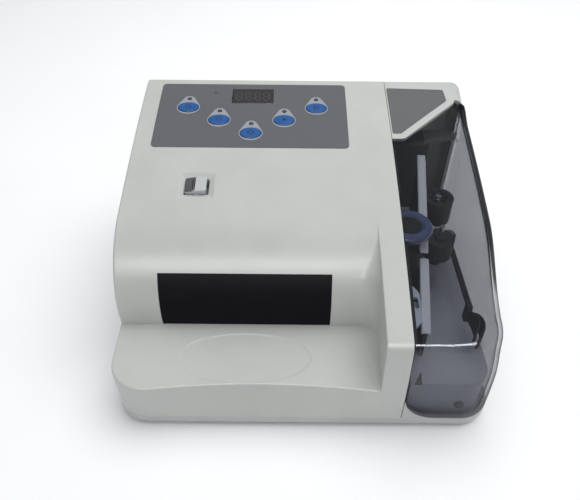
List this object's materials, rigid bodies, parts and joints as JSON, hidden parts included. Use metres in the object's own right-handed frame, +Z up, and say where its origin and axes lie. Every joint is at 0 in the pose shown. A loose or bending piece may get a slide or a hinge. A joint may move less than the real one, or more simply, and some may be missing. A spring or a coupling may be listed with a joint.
{
  "type": "banknote counting machine",
  "caption": "Low desktop case with a sloping crown, a round nose over a hand rest, a key panel and a note channel behind a clear hinged door.",
  "frame": {"origin": "middle of the outer box at table height", "axes": "+X to the operator's right, towards the door; +Y to the rear; +Z up"},
  "size_m": [0.235, 0.214, 0.128],
  "materials": {
    "cover_white": "satin",
    "base_grey": "satin",
    "label_grey": "satin",
    "window_black": "gloss",
    "foot_rubber": "matte",
    "screw_steel": "satin",
    "black_plastic": "satin",
    "panel_grey": "satin",
    "key_white": "satin",
    "key_blue": "satin",
    "led_dark": "gloss",
    "display_smoke": "gloss",
    "display_body": "satin",
    "board_green": "satin",
    "chip_black": "satin",
    "switch_grey": "satin",
    "cable_grey": "matte",
    "lamp_glass": "gloss",
    "reflector_white": "satin",
    "floor_blue_grey": "satin",
    "guide_grey": "satin",
    "pad_rubber": "matte",
    "plate_grey": "satin",
    "sensor_black": "satin",
    "head_steel": "satin",
    "bush_brass": "satin",
    "motor_steel": "satin",
    "bracket_steel": "satin",
    "pulley_white": "satin",
    "belt_rubber": "matte",
    "shaft_steel": "satin",
    "roller_rubber": "matte",
    "knob_smoke_blue": "gloss",
    "knob_black": "gloss",
    "spring_steel": "satin",
    "door_smoke": "gloss",
    "magnet_grey": "satin"
  },
  "bodies": {
    "case": {"base_tray": "base_grey", "main_cover": "cover_white", "corner_cover": "cover_white", "corner_label": "label_grey", "front_window": "window_black", "rubber_feet": "foot_rubber", "case_screws": "screw_steel", "dc_jack": "black_plastic", "panel_overlay": "panel_grey", "key_surrounds": "key_white", "indicator_leds": "led_dark", "display_lens": "display_smoke", "display_module": "display_body", "key_board": "board_green", "key_switches": "chip_black", "switch_frame": "switch_grey", "main_board": "board_green", "board_parts": "chip_black", "ribbon_cable": "cable_grey", "uv_lamp": "lamp_glass", "lamp_reflector": "reflector_white", "side_frame": "black_plastic", "channel_floor": "floor_blue_grey", "guide_plate": "guide_grey", "friction_pad": "pad_rubber", "adjust_plate": "plate_grey", "adjust_screw": "screw_steel", "photo_sensor": "sensor_black", "magnetic_head": "head_steel", "shaft_bushes": "bush_brass", "motor": "motor_steel", "motor_bracket": "bracket_steel", "drive_belt": "belt_rubber", "feed_belt": "belt_rubber", "arm_pin": "shaft_steel", "arm_spring": "spring_steel", "hinge_bracket": "black_plastic", "hinge_pins": "shaft_steel", "door_magnet": "magnet_grey"},
    "door": {"door": "door_smoke"},
    "key_1": {"key_1": "key_blue"},
    "key_2": {"key_2": "key_blue"},
    "key_3": {"key_3": "key_blue"},
    "key_4": {"key_4": "key_blue"},
    "key_5": {"key_5": "key_blue"},
    "rocker": {"rocker": "switch_grey"},
    "motor_rotor": {"motor_pulley": "pulley_white"},
    "count_drive": {"count_shaft": "shaft_steel", "count_pulley": "pulley_white", "count_roller": "roller_rubber", "hand_knob": "knob_smoke_blue", "knob_cap": "knob_black"},
    "feed_drive": {"feed_shaft": "shaft_steel", "feed_pulley": "pulley_white", "feed_hub": "black_plastic", "feed_tyre": "roller_rubber"},
    "press_arm": {"pressing_arm": "black_plastic", "pusher_fingers": "pad_rubber", "pinch_axle": "shaft_steel"},
    "pinch": {"pinch_wheel": "roller_rubber"}
  },
  "joints": [
    {"name": "door_hinge", "type": "hinge", "parent": "case", "child": "door", "pos_m": [0.113, 0.0795, 0.06], "axis": [0, 0, 1], "range_deg": [0, 90]},
    {"name": "key_1_press", "type": "slide", "parent": "case", "child": "key_1", "axis": [0, 0.1998, -0.9798], "range_m": [0, 0.0006], "stiffness_N_per_m": 600, "springref_m": -0.0005},
    {"name": "key_2_press", "type": "slide", "parent": "case", "child": "key_2", "axis": [0, 0.2109, -0.9775], "range_m": [0, 0.0006], "stiffness_N_per_m": 600, "springref_m": -0.0005},
    {"name": "key_3_press", "type": "slide", "parent": "case", "child": "key_3", "axis": [0, 0.2221, -0.975], "range_m": [0, 0.0006], "stiffness_N_per_m": 600, "springref_m": -0.0005},
    {"name": "key_4_press", "type": "slide", "parent": "case", "child": "key_4", "axis": [0, 0.2111, -0.9775], "range_m": [0, 0.0006], "stiffness_N_per_m": 600, "springref_m": -0.0005},
    {"name": "key_5_press", "type": "slide", "parent": "case", "child": "key_5", "axis": [0, 0.2003, -0.9797], "range_m": [0, 0.0006], "stiffness_N_per_m": 600, "springref_m": -0.0005},
    {"name": "rocker_tilt", "type": "hinge", "parent": "case", "child": "rocker", "pos_m": [-0.07, 0.00302, 0.10329], "axis": [0, 0.9652, 0.2615], "range_deg": [0, 16]},
    {"name": "count_spin", "type": "hinge", "parent": "case", "child": "count_drive", "pos_m": [0.067, -0.016, 0.05], "axis": [0, 0, 1], "continuous": true},
    {"name": "feed_spin", "type": "hinge", "parent": "case", "child": "feed_drive", "pos_m": [0.093, 0.018, 0.05], "axis": [0, 0, 1], "continuous": true},
    {"name": "motor_spin", "type": "hinge", "parent": "case", "child": "motor_rotor", "pos_m": [0.022, -0.007, 0.05], "axis": [0, 0, 1], "continuous": true},
    {"name": "press_arm_swing", "type": "hinge", "parent": "case", "child": "press_arm", "pos_m": [0.103, 0.006, 0.056], "axis": [0, 0, 1], "range_deg": [0, 3], "stiffness_Nm_per_rad": 0.05, "springref_deg": -11.46},
    {"name": "pinch_spin", "type": "hinge", "parent": "press_arm", "child": "pinch", "pos_m": [0.09, -0.0133, 0.05], "axis": [0, 0, 1], "continuous": true}
  ],
  "couplings": [
    {"joint": "feed_spin", "follows": "count_spin", "ratio": 1},
    {"joint": "motor_spin", "follows": "count_spin", "ratio": 1.4},
    {"joint": "pinch_spin", "follows": "count_spin", "ratio": -1.3542}
  ]
}
